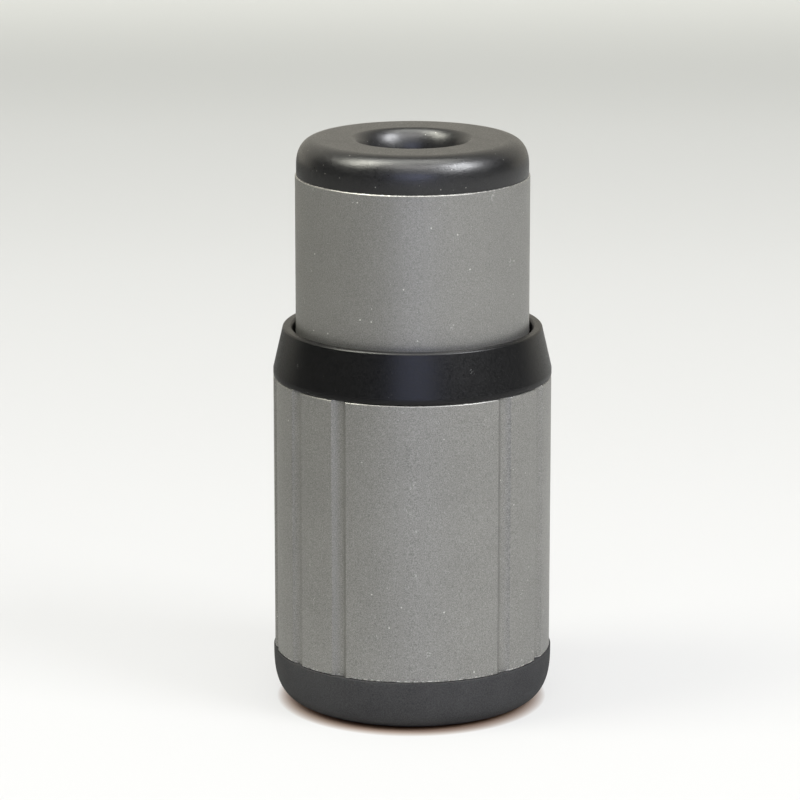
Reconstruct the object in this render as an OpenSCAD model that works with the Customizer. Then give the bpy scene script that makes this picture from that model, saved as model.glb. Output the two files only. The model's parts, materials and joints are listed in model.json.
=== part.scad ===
// Pocket monocular that focuses by a twist of its eyepiece tube, standing on its objective end.
// Z points up along the optical axis, towards the eye, and -Y is the front. The origin is the
// middle of the flat ring that the monocular stands on. Sizes are in millimetres.

/* [Barrel] */
// Outside diameter of the barrel
barrel_d = 32; // [31.8:0.1:32.6]
// Height of the barrel's lower edge
barrel_bottom = 6.05; // [6:0.05:6.3]
// Height of the barrel's upper edge
barrel_top = 38.3; // [38:0.1:39.5]
// Wall of the barrel beside the focusing screw
barrel_wall = 1.1; // [1.05:0.05:1.15]
// Angle from one grip groove to the next
groove_pitch = 24; // [20, 24, 30]
// Width of the plain panel, counted in groove pitches
panel_pitches = 3; // [2:1:5]
// Direction that the plain panel faces, from the front towards the right
panel_angle = 4.65; // [-45:0.05:45]
// Width of a grip groove at the surface
groove_w = 1.96; // [1:0.02:2.4]
// Depth of a grip groove, in the middle of its hollow floor
groove_depth = 0.5; // [0.2:0.05:0.6]

/* [Bumper] */
// How far the rubber bumper stands out past the barrel
bumper_proud = 0.15; // [0:0.05:0.4]
// Outer radius of the flat ring that it stands on
bumper_foot_r = 12.3; // [11.5:0.1:13.5]
// Radius of the bumper's hole in front of the objective
bumper_hole_r = 9.8; // [9.4:0.1:10.2]

/* [Collar] */
// Height of the collar's top
collar_top = 44.05; // [43.5:0.05:46]
// Height of the upright land above the barrel
collar_land = 0.8; // [0.4:0.1:1.5]
// Outer radius of the collar at its top
collar_tip_r = 14.9; // [14.6:0.05:15.4]
// Radius of the collar's bore
collar_bore_r = 13.77; // [13.7:0.01:13.9]

/* [Focusing tube] */
// Outside diameter of the eyepiece tube
tube_d = 26.78; // [26.6:0.02:26.8]
// Wall of the eyepiece tube
tube_wall = 1.29; // [1.25:0.01:1.35]
// Length of the eyepiece tube
tube_length = 33.1; // [33:0.1:34]
// Height of the tube's top when it is drawn out
tube_top_out = 61.6; // [61.5:0.1:62.5]
// Travel of the tube between its two stops
focus_travel = 17; // [15:0.1:17]
// How far the tube is drawn out now
focus_out = 17; // [0:0.1:17]

/* [Focusing screw] */
// Travel of the tube in one full turn
screw_lead = 18; // [16:0.5:22]
// Number of helical slots, and of pins that run in them
screw_starts = 3; // [2:1:4]
// Width of a helical slot along the axis
slot_w = 2; // [1.8:0.1:2.4]
// Radius of the floor of a helical slot
slot_floor_r = 14.4; // [14.2:0.05:14.45]
// Radius of a follower pin
pin_r = 0.92; // [0.7:0.01:0.92]
// Radius that the pins reach out to
pin_tip_r = 14.2; // [13.9:0.05:14.2]

/* [Eyecup] */
// Outer radius of the eyecup
eyecup_r = 13.25; // [13:0.05:13.4]
// Height of the eyecup above the tube
eyecup_h = 4.15; // [3.8:0.05:4.6]
// Height of the eyecup's upright side
eyecup_side_h = 1.1; // [0.6:0.1:1.5]
// Outer radius of the eyecup's flat top
eyecup_flat_r = 10.8; // [10:0.1:11.5]
// Radius at which the flat top turns down into the hole
eyecup_mouth_r = 7.1; // [6.5:0.1:7.5]
// Radius of the hole in front of the eye lens
eyecup_hole_r = 5.4; // [5.2:0.1:5.8]

/* [Objective] */
// Diameter of the objective lenses
objective_d = 20; // [19.6:0.1:20]
// Clear diameter of the objective
objective_clear_d = 18; // [16:0.5:18.2]
// Height of the lower rim of the objective's crown lens
objective_z = 4.2; // [4.2:0.1:4.4]

/* [Prisms] */
// Clear aperture of the roof prism pair
prism_a = 11; // [10:0.1:11]
// Air gap between the two prisms
prism_gap = 0.2; // [0.18:0.01:0.25]

/* [Eyepiece] */
// Diameter of the eyepiece lenses
eye_lens_d = 14; // [13:0.1:14]
// Diameter of the field that the field stop lets through
field_d = 7.4; // [6:0.1:9]

/* [Hidden] */
$fn = 96;

seat_gap = 0.02;                  // between pieces that screw or press together
run_gap = 0.06;                   // between the sliding tube and its bearing
glide_gap = 0.04;                 // round the glide ring and inside the felt
play = 0.05;                      // round loose parts that something else holds
edge = 0.15;                      // small chamfer on turned edges
corner_steps = 14;                // points along a moulded corner
barrel_r = barrel_d / 2;
barrel_bore_r = barrel_r - barrel_wall;
groove_count = 360 / groove_pitch - panel_pitches + 1;
groove_r = (pow(groove_w / 2, 2) + pow(groove_depth, 2)) / 2 / groove_depth;

// Lower end of the barrel and the objective cell
spigot_r = barrel_r - 1.4;
spigot_bottom = 2.6;
cell_bore_r = 12.2;
liner_seat_z = 11;
flange_r = 13.4;
flange_bottom = 1.95;
bumper_top = barrel_bottom - seat_gap;
bumper_side_r = barrel_r + bumper_proud;
bumper_corner_e = 2.85;           // exponent of the bumper's rounded side, 2 for an ellipse
bumper_lip_round = 0.6;
lens_r = objective_d / 2;
lens_fit = 0.03;
retainer_r = 10.95;
clear_r = objective_clear_d / 2;
crown_edge = 1;
crown_front_r = 29;
doublet_r = 25;
flint_back_r = 98;
flint_thick = 1.3;
cement = 0.01;
lens_lip_z = 8.2;
lens_lip_r = clear_r + 0.1;
retainer_bottom = 2.5;
retainer_top = 3.88;
retainer_hole_r = clear_r + 0.2;
spanner_w = 1.2;                  // slots for a spanner in the threaded rings
spanner_depth = 0.7;
baffle_seat_z = 9;
baffle_r = 10.2;
baffle_wall = 0.9;
baffle_knife_r = 8.1;
baffle_knife_t = 0.2;
cell_top = 10.9;
seal_r = 0.5;
seal_z = 6.9;
seal_groove_w = 1.2;
seal_floor_r = 11.15;

// Collar, felt and helical liner
collar_spigot_bottom = 35.05;
collar_mouth = 0.25;
felt_r = 14.3;
felt_z = 40.3;
felt_h = 2;
tube_r = tube_d / 2;
liner_r = tube_r + run_gap;
slot_steps = 50;                  // slices along a helical slot
slot_arc_steps = 4;               // chords across the floor of a slot
pin_h = 1.5;                      // height of the pins above the tube's lower end
pin_angle = 30;                   // direction of the first pin
stop_gap = 0.08;

// Eyepiece tube: heights are given with the tube drawn out
tube_bottom = tube_top_out - tube_length;
tube_bore_r = tube_r - tube_wall;
pin_z = tube_bottom + pin_h;
slot_top = pin_z + pin_r + stop_gap;
slot_bottom = liner_seat_z - 0.1;
glide_z = tube_bottom + 3.4;
glide_h = 2;
glide_floor_r = 12.75;
glide_split = 1.2;
insert_r = tube_bore_r - 0.04;
prism_retainer_z = tube_bottom + 3.6;
prism_retainer_h = 1.8;
prism_retainer_hole_r = 7;
prism_retainer_face_r = 8.6;
prism_retainer_knife_t = 0.4;
cage_bottom = tube_bottom + 5.5;
cage_top = tube_bottom + 21.9;

// Prisms: c is where the gap crosses the axis, y runs across and z runs along the axis
c = tube_bottom + 7.4 + prism_a / 2;
prism_limit_r = 11.3;
prism_side = prism_a / 2;
half_root = sqrt(2) / 2;
cage_room = 0.2;
cage_ledge = 0.2;                 // how far the cage holds each prism face round its window
cage_open_x = -6.2;
cage_back_x = 7.2;
clip_t = 0.5;
clip_pad_r = 2.5;
clip_pad_gap = 0.06;
clip_margin = 0.3;
screw_r = 0.38;
screw_hole_r = 0.4;
screw_depth = 2;
screw_head_r = 0.65;
screw_head_h = 0.4;
screw_slot_w = 0.2;
screw_slot_depth = 0.15;
screw_tip_room = 0.3;
screw_places = [[-8, cage_bottom + 2], [8, cage_bottom + 2], [9, cage_top - 1.2]];
shim_w = 1.2;
shim_length = 14;
shim_t = prism_gap - 0.04;

// Eyepiece
eye_cell_bottom = tube_bottom + 22;
eye_r = eye_lens_d / 2;
eye_bore_r = eye_r + play;
eye_neck_r = 9;
eye_neck_z = tube_top_out - 4.05;
eye_cell_top = tube_top_out - 0.2;
eye_lip_z = eye_cell_top - 0.55;
eye_lip_r = 5.5;
eye_lip_chamfer = 0.3;
eye_rim_z = eye_lip_z - 0.35;
eye_front_r = 30;
eye_crown_edge = 0.9;
eye_doublet_r = 11;
eye_flint_t = 1;
eye_flint_z = eye_rim_z - eye_crown_edge - sag(eye_doublet_r, eye_r) - cement - eye_flint_t;
field_lens_z = eye_cell_bottom + 1.4;
field_lens_edge = 1.1;
field_lens_r = 12;
spacer_r = 6.2;
spacer_z = field_lens_z + field_lens_edge + 0.6;
field_stop_z = eye_cell_bottom + 0.7;
field_stop_t = 0.65;
field_stop_knife_t = 0.15;
eye_retainer_hole_r = 5;
eye_spanner_depth = 0.35;
eye_seal_z = eye_cell_bottom + 4.2;
eye_seal_floor_r = 11.02;
eyecup_bottom = tube_top_out + seat_gap;
eyecup_top = tube_top_out + eyecup_h;
eyecup_corner_e = 2.3;           // exponents of the rounded corners, 2 for an ellipse
eyecup_mouth_e = 2;
eyecup_mouth_depth = 3.15;

// Depth of a spherical surface of radius curve_r at the distance r from its axis
function sag(curve_r, r) = curve_r - sqrt(curve_r * curve_r - r * r);

// Quarter of a rounded corner from (wide, 0) to (0, high), fuller than an ellipse where e > 2
function corner(wide, high, e) =
    [for (i = [0 : corner_steps])
        let (t = 90 * i / corner_steps) [wide * pow(cos(t), 2 / e), high * pow(sin(t), 2 / e)]];

function turned(list) = [for (i = [len(list) - 1 : -1 : 0]) list[i]];

module turn(points) rotate_extrude() polygon(points);

module ring(r_out, r_in, z, h) turn([[r_in, z], [r_out, z], [r_out, z + h], [r_in, z + h]]);

module seal_ring(r, z) rotate_extrude() translate([r, z]) circle(r = seal_r);

// Two slots for a spanner, cut up into the lower face of a threaded ring
module spanner_slots(r_in, face_z, depth) {
    for (side = [0, 180])
        rotate(side) translate([r_in, -spanner_w / 2, face_z - 1])
            cube([barrel_r - r_in, spanner_w, depth + 1]);
}

// Places a piece that slides with the eyepiece tube but doesn't turn
module on_glide() translate([0, 0, focus_out - focus_travel]) children();

// Places a piece that moves with the eyepiece tube, which turns as it slides
module on_tube() on_glide() rotate(360 * (focus_out - focus_travel) / screw_lead) children();

// Repeats a piece at each follower pin
module at_pins()
    for (i = [0 : screw_starts - 1]) rotate(pin_angle + 360 * i / screw_starts) children();

// Stands an outline drawn across (y) and along (z) the axis upright, from x0 to x1
module slab(points, x0, x1)
    translate([x0, 0, 0]) rotate([90, 0, 90]) linear_extrude(x1 - x0) polygon(points);

module grip_groove()
    translate([0, groove_depth - barrel_r - groove_r, barrel_bottom - 1])
        cylinder(r = groove_r, h = barrel_top - barrel_bottom + 2);

module barrel_sleeve() {
    color([0.52, 0.52, 0.5]) difference() {
        turn([[barrel_r - edge, barrel_bottom], [barrel_r, barrel_bottom + edge],
              [barrel_r, barrel_top - edge], [barrel_r - edge, barrel_top],
              [barrel_bore_r, barrel_top], [barrel_bore_r, liner_seat_z],
              [cell_bore_r, liner_seat_z], [cell_bore_r, spigot_bottom],
              [spigot_r, spigot_bottom], [spigot_r, barrel_bottom]]);
        for (i = [0 : groove_count - 1])
            rotate(panel_angle + (panel_pitches / 2 + i) * groove_pitch) grip_groove();
    }
}

module barrel_collar() {
    foot = barrel_top + seat_gap;
    color([0.13, 0.13, 0.14]) turn([
        [barrel_r - edge, foot], [barrel_r, foot + edge], [barrel_r, foot + collar_land],
        [collar_tip_r, collar_top - edge], [collar_tip_r - edge, collar_top],
        [collar_bore_r + collar_mouth, collar_top], [collar_bore_r, collar_top - collar_mouth],
        [collar_bore_r, felt_z + felt_h], [felt_r, felt_z + felt_h], [felt_r, felt_z],
        [collar_bore_r, felt_z], [collar_bore_r, collar_spigot_bottom],
        [barrel_bore_r - seat_gap, collar_spigot_bottom], [barrel_bore_r - seat_gap, foot]]);
}

module wiper_felt() {
    color([0.1, 0.1, 0.1])
        ring(felt_r - seat_gap, tube_r + glide_gap, felt_z + seat_gap, felt_h - 2 * seat_gap);
}

// One helical slot, cut right down to the liner's lower end so that a pin can enter there
module helical_slot() {
    half = 180 * slot_w / screw_lead;
    inner = tube_bore_r;
    height = slot_top - slot_bottom;
    arc = [for (i = [0 : slot_arc_steps]) half * (2 * i / slot_arc_steps - 1)];
    outline = concat([for (a = arc) slot_floor_r * [cos(a), sin(a)]],
                     [inner * [cos(half), sin(half)], inner * [cos(half), -sin(half)]]);
    translate([0, 0, slot_bottom]) rotate(360 * (slot_bottom - pin_z) / screw_lead)
        linear_extrude(height, twist = -360 * height / screw_lead, slices = slot_steps,
                       segments = len(outline))
            polygon(outline);
}

module helicoid_liner() {
    bottom = liner_seat_z + seat_gap;
    color([0.72, 0.6, 0.32]) difference() {
        ring(barrel_bore_r - seat_gap, liner_r, bottom, collar_spigot_bottom - seat_gap - bottom);
        at_pins() helical_slot();
    }
}

module front_bumper() {
    side = [for (p = corner(bumper_side_r - bumper_foot_r, bumper_top, bumper_corner_e))
                [bumper_foot_r + p[0], bumper_top - p[1]]];
    flange_room = flange_bottom - seat_gap;
    color([0.25, 0.25, 0.25]) turn(concat(side,
        [[bumper_hole_r + bumper_lip_round, 0],
         [bumper_hole_r + bumper_lip_round * (1 - half_root), bumper_lip_round * (1 - half_root)],
         [bumper_hole_r, bumper_lip_round], [bumper_hole_r, flange_room],
         [flange_r + seat_gap, flange_room], [flange_r + seat_gap, spigot_bottom - seat_gap],
         [spigot_r + seat_gap, spigot_bottom - seat_gap], [spigot_r + seat_gap, bumper_top]]));
}

module objective_cell() {
    top = spigot_bottom - seat_gap;
    color([0.1, 0.1, 0.11]) difference() {
        turn([[retainer_r, flange_bottom], [flange_r, flange_bottom], [flange_r, top],
              [cell_bore_r - seat_gap, top], [cell_bore_r - seat_gap, cell_top],
              [baffle_r, cell_top], [baffle_r, baffle_seat_z], [lens_lip_r, baffle_seat_z],
              [lens_lip_r, lens_lip_z], [lens_r + lens_fit, lens_lip_z],
              [lens_r + lens_fit, objective_z], [retainer_r, objective_z]]);
        ring(flange_r, seal_floor_r, seal_z - seal_groove_w / 2, seal_groove_w);
    }
}

// Height of the top of the crown lens of the objective
function crown_top() = objective_z + crown_edge + sag(doublet_r, lens_r);

module objective_crown_lens() {
    color([0.75, 0.85, 0.9, 0.4]) intersection() {
        cylinder(h = 2 * lens_r, r = lens_r);
        translate([0, 0, objective_z - sag(crown_front_r, lens_r) + crown_front_r])
            sphere(crown_front_r, $fn = 180);
        translate([0, 0, crown_top() - doublet_r]) sphere(doublet_r, $fn = 180);
    }
}

module objective_flint_lens() {
    color([0.8, 0.85, 0.8, 0.4]) difference() {
        intersection() {
            translate([0, 0, objective_z]) cylinder(h = lens_r, r = lens_r);
            translate([0, 0, crown_top() + cement + flint_thick - flint_back_r])
                sphere(flint_back_r, $fn = 360);
        }
        translate([0, 0, crown_top() - doublet_r]) sphere(doublet_r + cement, $fn = 180);
    }
}

module objective_retainer() {
    color([0.12, 0.12, 0.12]) difference() {
        ring(retainer_r - seat_gap, retainer_hole_r, retainer_bottom, retainer_top - retainer_bottom);
        spanner_slots(clear_r, retainer_bottom, spanner_depth);
    }
}

module objective_seal() {
    color([0.08, 0.08, 0.08]) seal_ring(seal_floor_r + seal_r + seat_gap, seal_z);
}

module light_baffle() {
    bottom = baffle_seat_z + seat_gap;
    top = cell_top - play;
    color([0.05, 0.05, 0.05]) turn([
        [baffle_r - baffle_wall, bottom], [baffle_r - seat_gap, bottom], [baffle_r - seat_gap, top],
        [baffle_knife_r, top], [baffle_knife_r, top - baffle_knife_t]]);
}

module glide_ring() {
    z = glide_z + glide_gap;
    color([0.9, 0.9, 0.86]) on_glide() difference() {
        ring(liner_r - glide_gap, glide_floor_r + glide_gap, z, glide_h - 2 * glide_gap);
        translate([0, -glide_split / 2, glide_z - 1])
            cube([tube_r * 2, glide_split, glide_h + 2]);
    }
}

module draw_tube() {
    color([0.52, 0.52, 0.5]) on_tube() difference() {
        turn([[tube_bore_r, tube_bottom], [tube_r - edge, tube_bottom],
              [tube_r, tube_bottom + edge], [tube_r, glide_z], [glide_floor_r, glide_z],
              [glide_floor_r, glide_z + glide_h], [tube_r, glide_z + glide_h],
              [tube_r, tube_top_out - edge], [tube_r - edge, tube_top_out],
              [tube_bore_r, tube_top_out]]);
        at_pins() translate([0, 0, pin_z]) rotate([0, 90, 0])
            cylinder(h = 2 * tube_r, r = pin_r + seat_gap);
    }
}

module follower_pins() {
    start = tube_bore_r + play;
    color([0.75, 0.76, 0.78]) on_tube() at_pins()
        translate([start, 0, pin_z]) rotate([0, 90, 0]) cylinder(h = pin_tip_r - start, r = pin_r);
}

module eyecup() {
    wide = eyecup_r - eyecup_flat_r;
    high = eyecup_h - eyecup_side_h;
    outer = [for (p = corner(wide, high, eyecup_corner_e))
                [eyecup_flat_r + p[0], eyecup_top - high + p[1]]];
    bend = eyecup_mouth_r - eyecup_hole_r;
    mouth = [for (p = turned(corner(bend, eyecup_mouth_depth, eyecup_mouth_e)))
                [eyecup_mouth_r - p[0], eyecup_top - eyecup_mouth_depth + p[1]]];
    neck = eye_neck_r + play;
    color([0.17, 0.17, 0.18]) on_tube() turn(concat(
        [[eyecup_r, eyecup_bottom]], outer, mouth,
        [[eyecup_hole_r, eye_cell_top + play], [neck, eye_cell_top + play],
         [neck, eye_neck_z + play], [insert_r, eye_neck_z + play], [insert_r, eyecup_bottom]]));
}

module eyepiece_cell() {
    color([0.1, 0.1, 0.11]) on_tube() difference() {
        turn([[eye_bore_r, eye_cell_bottom], [insert_r, eye_cell_bottom],
              [insert_r, eye_neck_z], [eye_neck_r, eye_neck_z], [eye_neck_r, eye_cell_top],
              [eye_lip_r + eye_lip_chamfer, eye_cell_top],
              [eye_lip_r, eye_cell_top - eye_lip_chamfer],
              [eye_lip_r, eye_lip_z], [eye_bore_r, eye_lip_z]]);
        ring(tube_r, eye_seal_floor_r, eye_seal_z - seal_groove_w / 2, seal_groove_w);
    }
}

module eyepiece_seal() {
    color([0.08, 0.08, 0.08]) on_tube() seal_ring(eye_seal_floor_r + seal_r + seat_gap, eye_seal_z);
}

module eye_crown_lens() {
    rim_bottom = eye_rim_z - eye_crown_edge;
    color([0.75, 0.85, 0.9, 0.4]) on_tube() intersection() {
        translate([0, 0, rim_bottom - eye_r]) cylinder(h = 2 * eye_r, r = eye_r);
        translate([0, 0, eye_rim_z + sag(eye_front_r, eye_r) - eye_front_r])
            sphere(eye_front_r, $fn = 240);
        translate([0, 0, rim_bottom - sag(eye_doublet_r, eye_r) + eye_doublet_r])
            sphere(eye_doublet_r, $fn = 180);
    }
}

module eye_flint_lens() {
    rim_bottom = eye_rim_z - eye_crown_edge;
    color([0.8, 0.85, 0.8, 0.4]) on_tube() difference() {
        translate([0, 0, eye_flint_z]) cylinder(h = rim_bottom - eye_flint_z, r = eye_r);
        translate([0, 0, rim_bottom - sag(eye_doublet_r, eye_r) + eye_doublet_r])
            sphere(eye_doublet_r + cement, $fn = 180);
    }
}

module lens_spacer() {
    color([0.1, 0.1, 0.1]) on_tube()
        ring(eye_bore_r - seat_gap, spacer_r, spacer_z, eye_flint_z - seat_gap - spacer_z);
}

module field_lens() {
    rim_top = field_lens_z + field_lens_edge;
    color([0.75, 0.85, 0.9, 0.4]) on_tube() intersection() {
        translate([0, 0, field_lens_z]) cylinder(h = eye_r, r = eye_r);
        translate([0, 0, rim_top + sag(field_lens_r, eye_r) - field_lens_r])
            sphere(field_lens_r, $fn = 180);
    }
}

module field_stop() {
    color([0.05, 0.05, 0.05]) on_tube() turn([
        [field_d / 2, field_stop_z], [eye_bore_r - seat_gap, field_stop_z],
        [eye_bore_r - seat_gap, field_stop_z + field_stop_t],
        [field_d / 2 + 1, field_stop_z + field_stop_t],
        [field_d / 2, field_stop_z + field_stop_knife_t]]);
}

module eyepiece_retainer() {
    height = field_stop_z - seat_gap - eye_cell_bottom;
    color([0.12, 0.12, 0.12]) on_tube() difference() {
        ring(eye_bore_r - seat_gap, eye_retainer_hole_r, eye_cell_bottom, height);
        spanner_slots(field_d / 2, eye_cell_bottom, eye_spanner_depth);
    }
}

// Outline of the pocket that holds both prisms
function cage_pocket() =
    let (k = cage_room, a = prism_a)
    [[-a / 2 - k, c - a / 2 - k], [a / 2 + k, c - a / 2 - k],
     [a * (0.5 + tan(22.5)) + k, c + a / 2], [a * half_root + k, c + a * half_root + k],
     [-a - k, c + a * half_root + k]];

module at_screws()
    for (p = screw_places) translate([cage_open_x, p[0], p[1]]) rotate([0, 90, 0]) children();

module prism_cage() {
    window_r = prism_side - cage_ledge;
    color([0.09, 0.09, 0.09]) on_tube() difference() {
        intersection() {
            translate([0, 0, cage_bottom]) cylinder(h = cage_top - cage_bottom, r = insert_r);
            translate([cage_open_x, -tube_r, cage_bottom])
                cube([cage_back_x - cage_open_x, 2 * tube_r, cage_top - cage_bottom]);
        }
        intersection() {
            slab(cage_pocket(), cage_open_x - 1, prism_side + cage_room);
            cylinder(h = cage_top, r = prism_limit_r + cage_room);
        }
        translate([0, 0, cage_bottom - 1]) cylinder(h = cage_top - cage_bottom + 2, r = window_r);
        at_screws() cylinder(h = screw_depth + screw_tip_room, r = screw_hole_r);
    }
}

module deflecting_prism() {
    a = prism_a;
    shift = prism_gap / 2 * half_root;
    color([0.75, 0.85, 0.9, 0.4]) on_tube() intersection() {
        translate([0, shift, -shift])
            slab([[-a / 2, c - a / 2], [a / 2, c - a / 2], [a * (0.5 + tan(22.5)), c + a / 2],
                  [a * half_root, c + a * half_root]], -prism_side, prism_side);
        cylinder(h = cage_top, r = prism_limit_r);
    }
}

// The roof is the corner of a square bar laid along the ridge, and the outline runs past it
module roof_prism() {
    a = prism_a;
    shift = prism_gap / 2 * half_root;
    color([0.8, 0.85, 0.8, 0.4]) on_tube() intersection() {
        translate([0, -shift, shift])
            slab([[-a, c - a], [a * half_root, c + a * half_root],
                  [-2 * a, c + a * half_root]], -prism_side, prism_side);
        translate([0, -a / 2 - shift, c - a / 2 + shift]) rotate([22.5, 0, 0]) rotate(45)
            translate([0, 0, -2 * a]) cube([2 * a, 2 * a, 6 * a]);
    }
}

module prism_shims() {
    middle = prism_a * (half_root - 0.5) / 2;
    color([0.7, 0.55, 0.25]) on_tube() for (side = [-1, 1])
        translate([side * (prism_side - shim_w), middle, c + middle]) rotate([45, 0, 0])
            cube([shim_w, shim_length, shim_t], center = true);
}

module prism_clip() {
    x = cage_open_x - seat_gap;
    pad = prism_side + clip_pad_gap;
    color([0.7, 0.71, 0.72]) on_tube() difference() {
        union() {
            intersection() {
                translate([x - clip_t, -tube_r, cage_bottom + clip_margin])
                    cube([clip_t, 2 * tube_r, cage_top - cage_bottom - 2 * clip_margin]);
                cylinder(h = cage_top, r = insert_r - play);
            }
            translate([x - clip_t / 2, 0, c]) rotate([0, 90, 0])
                cylinder(h = -pad - x + clip_t / 2, r = clip_pad_r);
        }
        at_screws() cylinder(h = 4 * clip_t, r = screw_hole_r, center = true);
    }
}

module clip_screws() {
    under_head = -clip_t - 2 * seat_gap;
    color([0.78, 0.79, 0.8]) on_tube() at_screws() difference() {
        union() {
            translate([0, 0, under_head]) cylinder(h = screw_depth - under_head, r = screw_r);
            translate([0, 0, under_head - screw_head_h]) cylinder(h = screw_head_h, r = screw_head_r);
        }
        translate([0, 0, under_head - screw_head_h])
            cube([3 * screw_head_r, screw_slot_w, 2 * screw_slot_depth], center = true);
    }
}

module prism_retainer() {
    z = prism_retainer_z;
    top = z + prism_retainer_h;
    color([0.1, 0.1, 0.11]) on_tube() difference() {
        turn([[prism_retainer_face_r, z], [insert_r, z], [insert_r, top],
              [prism_retainer_hole_r, top], [prism_retainer_hole_r, top - prism_retainer_knife_t]]);
        spanner_slots(prism_retainer_hole_r, z, spanner_depth);
    }
}

barrel_sleeve();
barrel_collar();
wiper_felt();
helicoid_liner();
front_bumper();
objective_cell();
objective_crown_lens();
objective_flint_lens();
objective_retainer();
objective_seal();
light_baffle();
glide_ring();
draw_tube();
follower_pins();
eyecup();
eyepiece_cell();
eyepiece_seal();
eye_crown_lens();
eye_flint_lens();
lens_spacer();
field_lens();
field_stop();
eyepiece_retainer();
prism_cage();
deflecting_prism();
roof_prism();
prism_shims();
prism_clip();
clip_screws();
prism_retainer();
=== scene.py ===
# Pocket monocular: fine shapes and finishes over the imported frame. Lengths are in metres.
import bmesh
import bpy
import json
import math
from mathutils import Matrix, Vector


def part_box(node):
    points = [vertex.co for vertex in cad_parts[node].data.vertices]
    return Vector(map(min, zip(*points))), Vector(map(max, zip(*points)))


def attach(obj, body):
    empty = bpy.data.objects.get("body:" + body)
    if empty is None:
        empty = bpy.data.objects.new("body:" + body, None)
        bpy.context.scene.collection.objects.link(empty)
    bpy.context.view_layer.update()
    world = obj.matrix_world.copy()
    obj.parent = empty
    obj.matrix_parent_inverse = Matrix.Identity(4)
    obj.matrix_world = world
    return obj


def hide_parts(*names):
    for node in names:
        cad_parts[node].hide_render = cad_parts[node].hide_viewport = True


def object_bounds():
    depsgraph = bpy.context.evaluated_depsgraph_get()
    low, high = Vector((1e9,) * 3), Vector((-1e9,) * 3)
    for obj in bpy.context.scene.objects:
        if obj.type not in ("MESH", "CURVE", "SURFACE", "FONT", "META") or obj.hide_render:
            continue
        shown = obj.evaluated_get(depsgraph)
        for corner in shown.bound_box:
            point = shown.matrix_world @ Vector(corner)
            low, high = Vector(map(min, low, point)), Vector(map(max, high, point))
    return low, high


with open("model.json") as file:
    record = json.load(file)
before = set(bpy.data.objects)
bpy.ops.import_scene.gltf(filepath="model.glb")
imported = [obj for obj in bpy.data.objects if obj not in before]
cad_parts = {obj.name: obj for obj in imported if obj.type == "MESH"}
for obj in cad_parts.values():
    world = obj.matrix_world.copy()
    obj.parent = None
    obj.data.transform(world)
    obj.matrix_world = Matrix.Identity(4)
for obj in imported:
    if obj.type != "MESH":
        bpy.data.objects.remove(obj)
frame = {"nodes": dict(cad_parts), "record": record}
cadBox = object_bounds()
mm = 0.001
weldGap = 0.001 * mm       # points nearer than this are one point
cadMiddle = (cadBox[0].z + cadBox[1].z) / 2
turnSteps = 384            # columns round a turned piece
cornerAngle = 28           # edges sharper than this are softened
smoothAngle = 35           # and faces are shaded smooth across flatter ones
noiseReach = (0.3, 0.7)    # nearly all of a noise lies between these

# Camera, as the photo's edges fit it for an 800 x 800 picture
camera = {
    "place": (0, -0.4467, 0.1454), "tilt": 76.13, "pan": 0.0032, "lens": 179.6, "sensor": 36,
    "clip": (0.01, 20),
}


def makeCamera():
    print("camera")
    data = bpy.data.cameras.new("photoCamera")
    data.lens = camera["lens"]
    data.sensor_width = camera["sensor"]
    data.clip_start, data.clip_end = camera["clip"]
    taker = bpy.data.objects.new("photoCamera", data)
    bpy.context.scene.collection.objects.link(taker)
    taker.location = camera["place"]
    taker.rotation_euler = (math.radians(camera["tilt"]), 0, camera["pan"])
    bpy.context.scene.camera = taker
    bpy.context.scene.view_settings.view_transform = "Standard"


# Edit mode

def deselectAll():
    bpy.ops.object.select_all(action="DESELECT")


def pickVerts(piece, wanted):
    # the piece is in edit mode; an edge or face is selected when all its vertices are
    bpy.ops.mesh.select_mode(type="VERT")
    bpy.ops.mesh.select_all(action="DESELECT")
    cage = bmesh.from_edit_mesh(piece.data)
    for vert in cage.verts:
        vert.select = wanted(vert.co)
    cage.select_flush_mode()
    bmesh.update_edit_mesh(piece.data)


def frontAngle(at):
    # degrees from the front, -Y, towards the right, +X
    return math.degrees(math.atan2(at.x, -at.y))


def mergeAndFace():
    bpy.ops.mesh.select_all(action="SELECT")
    bpy.ops.mesh.remove_doubles(threshold=weldGap)
    bpy.ops.mesh.normals_make_consistent(inside=False)


def sweepOutline(name, outline, steps=turnSteps, closed=True):
    # an outline of (radius, height) points, drawn point by point and spun round the axis
    deselectAll()
    bpy.ops.mesh.primitive_plane_add(size=mm, location=(0, 0, 0), enter_editmode=True)
    piece = bpy.context.object
    piece.name = name
    piece.data.name = name
    bpy.ops.mesh.merge(type="CENTER")
    bpy.ops.transform.translate(value=(outline[0][0], 0, outline[0][1]))
    for last, now in zip(outline, outline[1:] + (outline[:1] if closed else [])):
        step = (now[0] - last[0], 0, now[1] - last[1])
        bpy.ops.mesh.extrude_region_move(TRANSFORM_OT_translate={"value": step})
    bpy.ops.mesh.select_all(action="SELECT")
    bpy.ops.mesh.remove_doubles(threshold=weldGap)
    bpy.ops.mesh.spin(steps=steps, angle=2 * math.pi, center=(0, 0, 0), axis=(0, 0, 1))
    mergeAndFace()
    bpy.ops.object.mode_set(mode="OBJECT")
    return piece


def applyModifier(piece, modifier):
    bpy.context.view_layer.objects.active = piece
    bpy.ops.object.modifier_apply(modifier=modifier.name)


def softenEdges(piece, width, segments=3):
    bevel = piece.modifiers.new("softEdges", "BEVEL")
    bevel.width = width
    bevel.segments = segments
    bevel.limit_method = "ANGLE"
    bevel.angle_limit = math.radians(cornerAngle)
    applyModifier(piece, bevel)


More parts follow.
